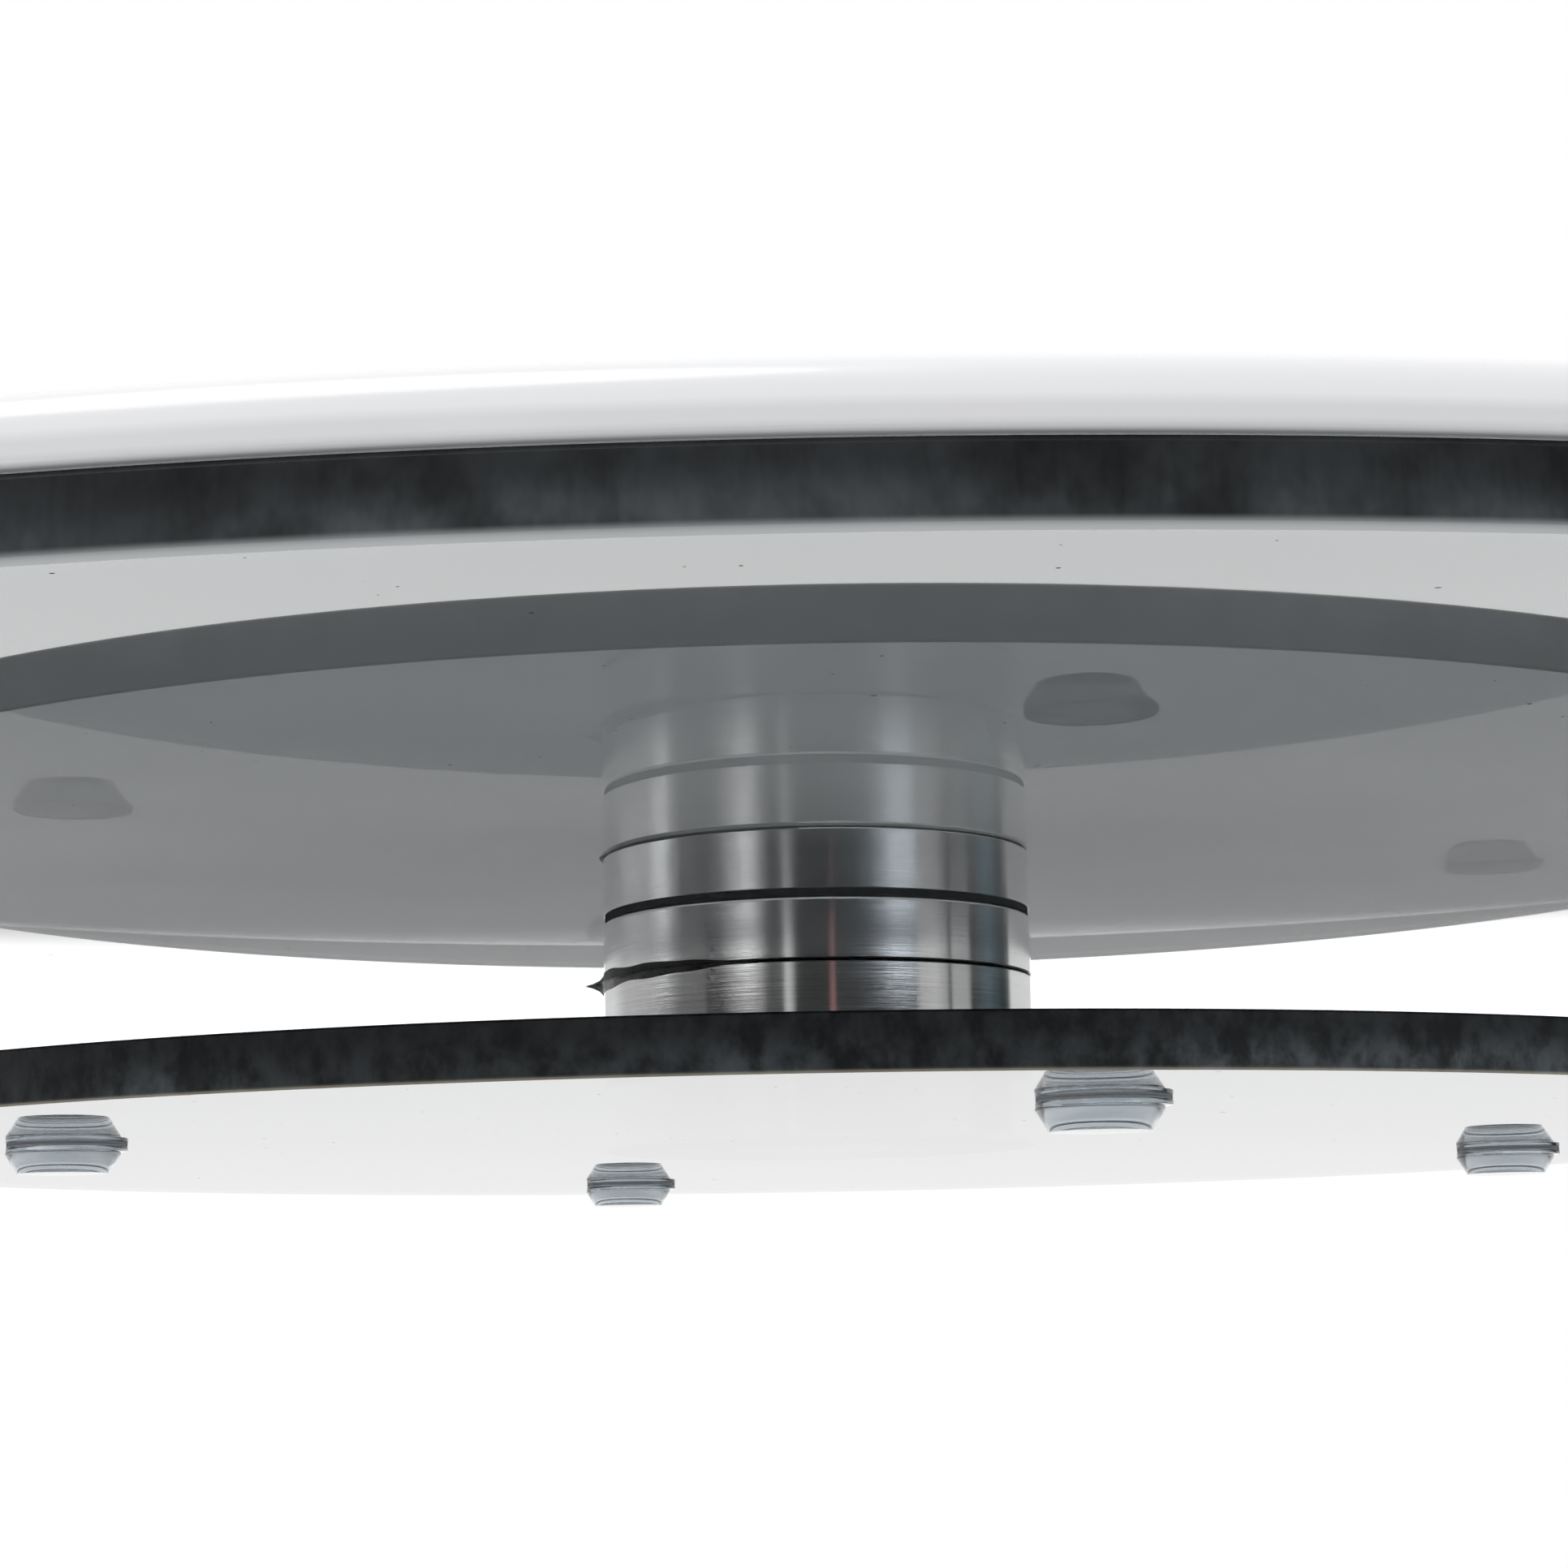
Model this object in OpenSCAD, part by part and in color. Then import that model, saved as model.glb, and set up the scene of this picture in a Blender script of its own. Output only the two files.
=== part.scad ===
// Low banding wheel: a round glass base on four clear feet, an aluminium ball turntable bearing bonded
// to it, and a round glass wheel head that carries a white work plate.
// Millimetres. +Z is up and is the spin axis. The soles of the feet stand on Z = 0.

/* [Glass discs] */
// Diameter of the base glass
base_d = 250; // [220:5:300]
// Thickness of the base glass
base_t = 5; // [4:0.5:8]
// Diameter of the wheel glass
wheel_d = 450; // [300:5:500]
// Thickness of the wheel glass
wheel_t = 5; // [4:0.5:8]
// Width of the ground arris along each glass edge
arris = 0.4; // [0.2:0.1:0.8]

/* [Work plate] */
// Thickness of the white work plate
plate_t = 5; // [4.5:0.5:6]
// Radius of the large round on the upper edge of the plate's rim
plate_round = 3.4; // [2:0.1:3.6]
// Radius of the small round on the lower edge of the plate's rim
plate_arris = 0.6; // [0.3:0.1:0.8]
// Thickness of the film that bonds the plate to the wheel glass
film_t = 0.1; // [0.1:0.05:0.3]
// How far the film stays inside the rim of the glass
film_inset = 3; // [1:0.5:6]

/* [Bearing housings] */
// Diameter of the two aluminium housings
housing_d = 50.8; // [50:0.1:60]
// Height of each housing
housing_h = 7; // [7:0.1:8]
// Open gap between the two housings
housing_gap = 0.9; // [0.8:0.1:1.1]
// Chamfer on the outer edges of the housings
housing_chamfer = 0.3; // [0.2:0.1:0.4]
// Thickness of the adhesive between a housing and its glass
bond_t = 0.1; // [0.1:0.05:0.2]
// Inner diameter of both adhesive rings
bond_id = 20; // [19:0.5:24]

/* [Ball race] */
// Diameter of the bearing balls
ball_d = 4; // [3.8:0.1:4]
// Number of bearing balls
ball_count = 18; // [10:1:20]
// Diameter of the circle that the balls run on
ball_circle_d = 34; // [33.6:0.1:34.4]
// Width of the steel races, measured along the radius
race_w = 6.4; // [6:0.1:6.6]
// Thickness of each steel race
race_t = 2.2; // [2:0.1:2.4]
// Width of the brass cage, measured along the radius
cage_w = 5.6; // [5.2:0.1:5.8]
// Thickness of the brass cage
cage_t = 1.2; // [1:0.1:1.4]

/* [Centre bolt] */
// Diameter of the ground shoulder that the upper housing turns on
shoulder_d = 8; // [7:0.5:8]
// Thread diameter above the shoulder
thread_d = 6; // [5:0.5:6]
// Diameter of the low bolt head
head_d = 12; // [11:0.5:12]
// Height of the low bolt head
head_h = 2.4; // [2:0.1:2.6]
// Size of the lock nut across its flats
nut_af = 10; // [9:0.5:11]

/* [Feet] */
// Diameter of a foot at its widest
foot_d = 12; // [10:0.5:14]
// Diameter of a foot at its sole
sole_d = 9.5; // [8:0.5:9.5]
// Height of a foot with its adhesive disc
foot_h = 3; // [2.5:0.1:4]
// Radius of the circle on which the feet are stuck
foot_circle_r = 90; // [60:1:95]
// Directions of the four feet in degrees, which a hand has set only roughly square
foot_angles = [-73.4, 17, 108, 207];

/* [Hidden] */
$fn = 96;
eps = 0.01;

// Heights, from the table up
base_z = foot_h;
base_bond_z = base_z + base_t;
lower_z = base_bond_z + bond_t;
lower_top = lower_z + housing_h;
upper_z = lower_top + housing_gap;
upper_top = upper_z + housing_h;
wheel_z = upper_top + bond_t;
film_z = wheel_z + wheel_t;
plate_z = film_z + film_t;
ball_z = (lower_top + upper_z) / 2;

// Ball race
race_face = 1.25;                       // from the ball centres to the flat face of each race
run_gap = 0.02;                         // running clearance between a ball and its grooves
groove_r = ball_d / 2 + 0.08;
race_in_r = ball_circle_d / 2 - race_w / 2;
race_out_r = ball_circle_d / 2 + race_w / 2;
pocket_d = ball_d + 0.3;

// Dust seal in the top of the lower housing
seal_in_r = race_out_r + 1.2;
seal_w = 2;
seal_depth = 1;
seal_gap = 0.05;                        // running clearance under the upper housing
seal_lip = 0.6;                         // how far the lip in the gap stays inside the housings

// Centre bolt and what it holds
housing_r = housing_d / 2;
head_room = 0.2;                        // between the bolt head and the adhesive plane
counterbore_d = head_d + 0.6;
head_z = lower_z + head_room;
shoulder_z = head_z + head_h;
socket_af = 4;
socket_depth = 1.4;
bush_wall = 1.5;
bush_clearance = 0.04;                  // radial running clearance on the shoulder
bush_r = shoulder_d / 2 + bush_clearance;
bush_flange_d = 15;
bush_flange_t = 0.8;
web_t = 2.4;                            // web of the upper housing that the bush is pressed into
well_d = 17;                            // well above that web, which holds the nut
well_z = upper_z + web_t;
flange_top = well_z + bush_flange_t;
washer_z = flange_top + 0.05;
washer_d = 14;
washer_t = 0.5;
spring_z = washer_z + washer_t;
spring_d = 12;
spring_t = 0.3;
spring_h = 0.5;
nut_z = spring_z + spring_h;
nut_h = 2.5;
nut_collar = 0.5;

// Adhesive that was squeezed out when the glass was bonded
spur_reach = 1.9;
spur_height = 0.7;
spur_start = 176;
spur_sweep = 58;
drop_reach = 0.5;
drop_height = 0.7;
drop_start = 183;
drop_sweep = 4;
bead_gap = 0.02;                        // keeps a bead clear of its adhesive ring

// Feet
pad_t = 0.2;
flange_t = 0.55;
flange_d = foot_d + 0.7;
flange_shift = 0.4;                     // the die-cut flange and its adhesive sit off centre
rim_h = 0.25;
sole_round = 0.3;

// A ring between two radii, standing on z
module ring(r_in, r_out, z, h) {
    translate([0, 0, z]) difference() {
        cylinder(r = r_out, h = h);
        translate([0, 0, -eps]) cylinder(r = r_in, h = h + 2 * eps);
    }
}

// A round glass disc with a ground arris along both edges
module glass_disc(d, t, z) {
    r = d / 2;
    rotate_extrude($fn = 240) polygon([
        [0, z], [r - arris, z], [r, z + arris],
        [r, z + t - arris], [r - arris, z + t], [0, z + t]
    ]);
}

// The solid outline of a housing, with chamfers on its outer edges
module housing_blank(z) {
    c = housing_chamfer;
    rotate_extrude() polygon([
        [0, z], [housing_r - c, z], [housing_r, z + c],
        [housing_r, z + housing_h - c], [housing_r - c, z + housing_h], [0, z + housing_h]
    ]);
}

// The groove that the balls run in, seen as a ring of round section
module ball_groove(z) {
    translate([0, 0, z]) rotate_extrude() translate([ball_circle_d / 2, 0]) circle(r = groove_r, $fn = 48);
}

// A steel race standing on z, with the centre of its groove at groove_z
module race(z, groove_z) {
    difference() {
        ring(race_in_r, race_out_r, z, race_t);
        ball_groove(groove_z);
    }
}

// Adhesive squeezed out along the edge of a housing, from the glass face at z up (side 1) or down (side -1)
module squeeze_out(z, side, reach, height, sweep) {
    r_in = housing_r - housing_chamfer + bead_gap;
    rotate_extrude(angle = sweep) polygon([
        [r_in, z], [housing_r + reach, z], [housing_r, z + side * height],
        [housing_r, z + side * (bond_t + housing_chamfer)], [r_in, z + side * (bond_t + bead_gap)]
    ]);
}

// Puts its children where foot i is stuck
module at_foot(i) {
    a = foot_angles[i];
    translate([foot_circle_r * cos(a), foot_circle_r * sin(a), 0]) children();
}

// Base
module base_glass() {
    color([0.78, 0.86, 0.86, 0.5]) glass_disc(base_d, base_t, base_z);
}

module base_bond() {
    color("dimgray") {
        ring(bond_id / 2, housing_r - housing_chamfer, base_bond_z, bond_t);
        rotate(drop_start) squeeze_out(base_bond_z, 1, drop_reach, drop_height, drop_sweep);
    }
}

module lower_housing() {
    color("silver") difference() {
        housing_blank(lower_z);
        ring(race_in_r, race_out_r, ball_z - race_face - race_t, housing_h);
        ring(seal_in_r, seal_in_r + seal_w, lower_top - seal_depth, housing_h);
        translate([0, 0, lower_z - eps]) cylinder(d = counterbore_d, h = head_room + head_h + eps);
        translate([0, 0, lower_z]) cylinder(d = shoulder_d, h = housing_h + eps);
    }
}

module lower_race() {
    color("slategray") race(ball_z - race_face - race_t, ball_z + groove_r - ball_d / 2 - run_gap);
}

module centre_bolt() {
    color("darkslategray") difference() {
        union() {
            translate([0, 0, head_z]) cylinder(d = head_d, h = head_h);
            translate([0, 0, shoulder_z]) cylinder(d = shoulder_d, h = washer_z - shoulder_z);
            translate([0, 0, washer_z]) cylinder(d = thread_d, h = nut_z + nut_h - washer_z);
        }
        translate([0, 0, head_z - eps])
            cylinder(d = socket_af / cos(30), h = socket_depth + eps, $fn = 6);
    }
}

module nylon_washer() {
    color("ivory") ring(thread_d / 2, washer_d / 2, washer_z, washer_t);
}

module disc_spring() {
    r_in = thread_d / 2 + 0.1;
    r_out = spring_d / 2;
    z = spring_z;
    color("steelblue") rotate_extrude() polygon([
        [r_out, z], [r_out, z + spring_t], [r_in, z + spring_h], [r_in, z + spring_h - spring_t]
    ]);
}

module lock_nut() {
    color("gainsboro") difference() {
        union() {
            translate([0, 0, nut_z]) cylinder(d = nut_af / cos(30), h = nut_h - nut_collar, $fn = 6);
            translate([0, 0, nut_z]) cylinder(d = nut_af - 1, h = nut_h);
        }
        translate([0, 0, nut_z - eps]) cylinder(d = thread_d, h = nut_h + 2 * eps);
    }
}

module dust_seal() {
    z = lower_top - seal_depth;
    color("black") union() {
        ring(seal_in_r, seal_in_r + seal_w, z, upper_z - seal_gap - z);
        ring(seal_in_r, housing_r - seal_lip, lower_top, upper_z - seal_gap - lower_top);
    }
}

module foot(i) {
    top = foot_h - pad_t - flange_t;
    r = foot_d / 2;
    sole_r = sole_d / 2;
    color([0.75, 0.8, 0.85, 0.6]) at_foot(i) union() {
        rotate_extrude($fn = 64) polygon([
            [0, 0], [sole_r - sole_round, 0], [sole_r, sole_round],
            [r, top - rim_h], [r, top], [0, top]
        ]);
        translate([flange_shift, 0, top]) cylinder(d = flange_d, h = flange_t);
    }
}

module foot_pad(i) {
    color([0.8, 0.8, 0.75, 0.6]) at_foot(i)
        translate([flange_shift, 0, foot_h - pad_t]) cylinder(d = flange_d, h = pad_t);
}

// Ball cage, which turns at half the speed of the wheel
module ball_cage() {
    r = ball_circle_d / 2;
    color("goldenrod") difference() {
        ring(r - cage_w / 2, r + cage_w / 2, ball_z - cage_t / 2, cage_t);
        for (k = [0 : ball_count - 1])
            rotate(k * 360 / ball_count) translate([r, 0, ball_z - cage_t])
                cylinder(d = pocket_d, h = 2 * cage_t, $fn = 48);
    }
}

module bearing_balls() {
    color("lightgray") for (k = [0 : ball_count - 1])
        rotate(k * 360 / ball_count) translate([ball_circle_d / 2, 0, ball_z]) sphere(d = ball_d, $fn = 48);
}

// Wheel
module upper_housing() {
    color("silver") difference() {
        housing_blank(upper_z);
        ring(race_in_r, race_out_r, upper_z - eps, race_face + race_t - housing_gap / 2 + eps);
        translate([0, 0, upper_z - eps]) cylinder(r = bush_r + bush_wall, h = housing_h);
        translate([0, 0, well_z]) cylinder(d = well_d, h = housing_h);
    }
}

module upper_race() {
    color("slategray") race(ball_z + race_face, ball_z - groove_r + ball_d / 2 + run_gap);
}

module centre_bush() {
    color("peru") difference() {
        union() {
            translate([0, 0, upper_z]) cylinder(r = bush_r + bush_wall, h = web_t);
            translate([0, 0, well_z]) cylinder(d = bush_flange_d, h = bush_flange_t);
        }
        translate([0, 0, upper_z - eps]) cylinder(r = bush_r, h = web_t + bush_flange_t + 2 * eps);
    }
}

module upper_bond() {
    color("dimgray") {
        ring(bond_id / 2, housing_r - housing_chamfer, upper_top, bond_t);
        rotate(spur_start) squeeze_out(wheel_z, -1, spur_reach, spur_height, spur_sweep);
    }
}

module wheel_glass() {
    color([0.45, 0.5, 0.5, 0.7]) glass_disc(wheel_d, wheel_t, wheel_z);
}

module plate_film() {
    color("gray") translate([0, 0, film_z]) cylinder(d = wheel_d - 2 * film_inset, h = film_t, $fn = 240);
}

// The plate's section: a straight rim between a large upper round and a small lower one
module plate_section() {
    r = wheel_d / 2;
    square([r - plate_round, plate_t]);
    translate([0, plate_arris]) square([r, plate_t - plate_round - plate_arris]);
    square([r - plate_arris, plate_arris]);
    intersection() {
        translate([r - plate_round, plate_t - plate_round]) circle(r = plate_round, $fn = 64);
        translate([r - plate_round, plate_t - plate_round]) square(plate_round);
    }
    intersection() {
        translate([r - plate_arris, plate_arris]) circle(r = plate_arris, $fn = 32);
        translate([r - plate_arris, 0]) square(plate_arris);
    }
}

module work_plate() {
    color("white") translate([0, 0, plate_z]) rotate_extrude($fn = 240) plate_section();
}

base_glass();
base_bond();
lower_housing();
lower_race();
centre_bolt();
nylon_washer();
disc_spring();
lock_nut();
dust_seal();
foot(0);  // foot_1
foot(1);  // foot_2
foot(2);  // foot_3
foot(3);  // foot_4
foot_pad(0);  // foot_pad_1
foot_pad(1);  // foot_pad_2
foot_pad(2);  // foot_pad_3
foot_pad(3);  // foot_pad_4
ball_cage();
bearing_balls();
upper_housing();
upper_race();
centre_bush();
upper_bond();
wheel_glass();
plate_film();
work_plate();
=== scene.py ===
import math

import bmesh
import bpy
from mathutils import Euler, Matrix, Vector, noise


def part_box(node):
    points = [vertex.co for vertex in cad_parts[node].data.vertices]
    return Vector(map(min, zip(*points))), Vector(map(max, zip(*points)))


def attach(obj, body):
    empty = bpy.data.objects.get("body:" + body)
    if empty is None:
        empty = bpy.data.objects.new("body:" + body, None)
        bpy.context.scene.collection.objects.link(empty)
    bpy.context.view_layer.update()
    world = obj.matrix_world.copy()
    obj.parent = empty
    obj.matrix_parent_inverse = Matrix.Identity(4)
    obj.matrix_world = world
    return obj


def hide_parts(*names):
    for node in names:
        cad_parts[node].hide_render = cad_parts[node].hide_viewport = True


# Low glass banding wheel: the looks of each piece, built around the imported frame.
# Lengths named in this script are millimetres; MM turns them into the frame's metres.
MM = 0.001

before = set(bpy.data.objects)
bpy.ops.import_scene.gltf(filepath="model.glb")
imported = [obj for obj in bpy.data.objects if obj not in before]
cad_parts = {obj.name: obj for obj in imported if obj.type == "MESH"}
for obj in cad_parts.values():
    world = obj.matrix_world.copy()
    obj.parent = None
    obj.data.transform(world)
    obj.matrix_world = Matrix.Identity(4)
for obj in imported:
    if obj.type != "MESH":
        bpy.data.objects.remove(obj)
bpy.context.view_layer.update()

# Radii of the turned and ground pieces
WHEEL_R = 225.0
BASE_R = 125.0
HOUSING_R = 25.4
FOOT_R = 6.0
SOLE_R = 4.75
FLANGE_R = 6.35
FLANGE_T = 0.55
FLANGE_SHIFT = 0.4       # how far the flange sits off the body's centre

# Edges
WHEEL_ARRIS = 0.4
BASE_ARRIS = 0.2
PLATE_ROUND = 3.4        # on the plate's upper edge
PLATE_LIP = 0.6          # on its lower edge
PAINTED_SHADE_H = 2.4            # how far up the plate's rim the painted shade reaches from the glass
GROUND_SOFT = 0.05       # rounding of a ground corner
TURNED_SOFT = 0.06       # rounding of a turned corner
BORE_SOFT = 0.1
HOUSING_CHAMFER = 0.3    # on the lower ring's foot
RING_ARRIS = 0.15        # chamfer on the upper ring's top
GAP_ROUND = 0.45         # on the upper ring's edge at the gap
GAP_BREAK = 0.1          # on the lower ring's edge at the gap
SEAL_LIP = 0.2           # how far the felt stays back from the rings' wall

# Inside of the housings
RACE_IN_R = 13.8
RACE_OUT_R = 20.2
SEAL_IN_R = 21.4
SEAL_OUT_R = 23.4
BORE_R = 4.0
COUNTERBORE_R = 6.3
BUSH_R = 5.54
WELL_R = 8.5
HEAD_H = 2.4             # height of the bolt's head
WEB_T = 2.4              # the upper ring's web below the nut's well
BOND_IN_R = 10.0

CLEAR = 0.01             # air between two pieces that touch, so that no two faces share a plane
DISC_STEPS = 720         # vertices round a disc, a bearing ring, a foot and its pad
RING_STEPS = 256
FOOT_STEPS = 128
PAD_STEPS = 96
SMOOTH_BELOW = math.radians(28)


def height(node, top):
    """Lowest or highest level of a CAD node, in millimetres."""
    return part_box(node)[1 if top else 0].z / MM


# ---------------------------------------------------------------- mesh tools


def rounded(corners, steps=6):
    """An outline through corners (radius, height, round), each corner turned into an arc of that radius."""
    outline = []
    count = len(corners)
    for i, (r, z, bend) in enumerate(corners):
        here = Vector((r, z))
        if bend <= 0:
            outline.append(here)
            continue
        back = (Vector(corners[i - 1][:2]) - here).normalized()
        ahead = (Vector(corners[(i + 1) % count][:2]) - here).normalized()
        half = back.angle(ahead) / 2
        centre = here + (back + ahead).normalized() * (bend / math.sin(half))
        start = here + back * (bend / math.tan(half)) - centre
        end = here + ahead * (bend / math.tan(half)) - centre
        sweep = start.angle(end)
        for k in range(steps + 1):
            t = k / steps
            a = math.sin((1 - t) * sweep) / math.sin(sweep)
            b = math.sin(t * sweep) / math.sin(sweep)
            outline.append(centre + start * a + end * b)
    return outline


def finish_mesh(name, bm):
    """Closes a bmesh in millimetres into an object in metres, smooth apart from its real edges."""
    bmesh.ops.remove_doubles(bm, verts=bm.verts, dist=1e-5)
    bmesh.ops.recalc_face_normals(bm, faces=bm.faces)
    mesh = bpy.data.meshes.new(name)
    bm.to_mesh(mesh)
    bm.free()
    mesh.transform(Matrix.Scale(MM, 4))
    mesh.polygons.foreach_set("use_smooth", [True] * len(mesh.polygons))
    mesh.set_sharp_from_angle(angle=SMOOTH_BELOW)
    made = bpy.data.objects.new(name, mesh)
    bpy.context.scene.collection.objects.link(made)
    flat_faces = made.modifiers.new("flat_faces", "WEIGHTED_NORMAL")
    flat_faces.keep_sharp = True
    return made


def circle(bm, r, z, segments, cx=0.0, cy=0.0):
    """New vertices round a level circle."""
    turns = [math.tau * k / segments for k in range(segments)]
    return [bm.verts.new((cx + r * math.cos(a), cy + r * math.sin(a), z)) for a in turns]


def bridge(bm, near, far):
    """Faces between two closed rows of vertices; a row of one vertex is a pole."""
    count = max(len(near), len(far))
    for k in range(count):
        n = (k + 1) % count
        if len(near) == 1:
            bm.faces.new((near[0], far[n], far[k]))
        elif len(far) == 1:
            bm.faces.new((near[k], near[n], far[0]))
        else:
            bm.faces.new((near[k], near[n], far[n], far[k]))


def revolve(name, outline, segments, centre_of=None):
    """Turns an outline round Z: from pole to pole where it starts and ends on the axis, else into a ring."""
    bm = bmesh.new()
    rings = []
    for r, z in outline:
        cx, cy = centre_of(z) if centre_of else (0.0, 0.0)
        if r < 1e-6:
            rings.append([bm.verts.new((cx, cy, z))])
        else:
            rings.append(circle(bm, r, z, segments, cx, cy))
    for near, far in zip(rings, rings[1:]):
        bridge(bm, near, far)
    if len(rings[0]) > 1:
        bridge(bm, rings[-1], rings[0])
    return finish_mesh(name, bm)


def place(piece, body, material, node):
    """Gives a finished piece its body and material, and lets it stand for a CAD node, which it hides."""
    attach(piece, body)
    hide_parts(node)
    piece.data.materials.append(material)


# ---------------------------------------------------------------- node tools


def add(tree, kind, inputs=None, **settings):
    """A shader node with its settings, and its inputs linked or set."""
    made = tree.nodes.new(kind)
    for key, value in settings.items():
        setattr(made, key, value)
    for key, value in (inputs or {}).items():
        if isinstance(value, bpy.types.NodeSocket):
            tree.links.new(value, made.inputs[key])
        else:
            made.inputs[key].default_value = value
    return made


def calc(tree, operation, a, b=0.0):
    """One Math node's result."""
    return add(tree, "ShaderNodeMath", {0: a, 1: b}, operation=operation).outputs[0]


def times(tree, first, *others):
    """The product of two or more values."""
    for value in others:
        first = calc(tree, "MULTIPLY", first, value)
    return first


def fade(tree, value, low, high, to_low=0.0, to_high=1.0):
    """value from low..high to to_low..to_high, eased and clamped."""
    mapped = add(
        tree,
        "ShaderNodeMapRange",
        {"Value": value, "From Min": low, "From Max": high, "To Min": to_low, "To Max": to_high},
        interpolation_type="SMOOTHSTEP",
    )
    return mapped.outputs["Result"]


def ramp(tree, value, stops):
    """A colour ramp's colour; each stop is (position, (r, g, b))."""
    made = add(tree, "ShaderNodeValToRGB", {"Fac": value})
    elements = made.color_ramp.elements
    while len(elements) < len(stops):
        elements.new(1.0)
    for element, (position, colour) in zip(elements, stops):
        element.position = position
    for element, (position, colour) in zip(made.color_ramp.elements, stops):
        element.color = (*colour, 1.0)
    return made.outputs["Color"]


def mix_colours(tree, factor, a, b, mode="MIX"):
    """A colour mix; a and b are sockets or colours."""
    made = add(tree, "ShaderNodeMixRGB", {"Fac": factor, "Color1": a, "Color2": b}, blend_type=mode)
    return made.outputs["Color"]


def grain(tree, scale, detail=3.0, stretch=(1.0, 1.0, 1.0), roughness=0.55):
    """Noise in object space; scale is per metre, stretch makes it longer or finer along an axis."""
    coords = add(tree, "ShaderNodeTexCoord").outputs["Object"]
    mapped = add(tree, "ShaderNodeMapping", {"Vector": coords, "Scale": stretch}).outputs[0]
    made = add(
        tree,
        "ShaderNodeTexNoise",
        {"Vector": mapped, "Scale": scale, "Detail": detail, "Roughness": roughness},
    )
    return made.outputs["Fac"]


def bump(tree, value, strength, distance):
    """A Bump node's normal; distance is in metres."""
    made = add(tree, "ShaderNodeBump", {"Height": value, "Strength": strength, "Distance": distance})
    return made.outputs["Normal"]


def principled(name, **inputs):
    """A new material with one Principled shader; returns the material, its tree and the shader."""
    material = bpy.data.materials.new(name)
    material.use_nodes = True
    tree = material.node_tree
    tree.nodes.clear()
    shader = add(tree, "ShaderNodeBsdfPrincipled")
    out = add(tree, "ShaderNodeOutputMaterial")
    tree.links.new(shader.outputs[0], out.inputs["Surface"])
    for key, value in inputs.items():
        shader.inputs[key.replace("_", " ")].default_value = value
    return material, tree, shader


def link(tree, value, shader, socket):
    """Feeds a value into one of a shader's inputs."""
    tree.links.new(value, shader.inputs[socket])


def mix_shaders(tree, factor, a, b):
    """A shader that is a where factor is 0 and b where it is 1."""
    return add(tree, "ShaderNodeMixShader", {"Fac": factor, 1: a.outputs[0], 2: b.outputs[0]})


def matt(tree, colour, **inputs):
    """A Diffuse shader."""
    return add(tree, "ShaderNodeBsdfDiffuse", {"Color": (*colour, 1.0), **inputs})


def to_output(tree, surface, volume=None):
    """Gives the material's output another surface shader and, for a clear piece, a volume."""
    out = next(n for n in tree.nodes if n.type == "OUTPUT_MATERIAL")
    tree.links.new(surface.outputs[0], out.inputs["Surface"])
    if volume:
        tree.links.new(volume.outputs[0], out.inputs["Volume"])


def absorption(tree, colour, density):
    """The volume of glass or clear plastic, which takes light on its way through."""
    return add(tree, "ShaderNodeVolumeAbsorption", {"Color": (*colour, 1.0), "Density": density})


def radius_and_height(tree):
    """Distance from the spin axis and height, in metres."""
    coords = add(tree, "ShaderNodeTexCoord").outputs["Object"]
    split = add(tree, "ShaderNodeSeparateXYZ", {0: coords})
    flat = add(tree, "ShaderNodeCombineXYZ", {"X": split.outputs["X"], "Y": split.outputs["Y"]})
    length = add(tree, "ShaderNodeVectorMath", {0: flat.outputs[0]}, operation="LENGTH")
    return length.outputs["Value"], split.outputs["Z"]


# ---------------------------------------------------------------- materials


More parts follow.
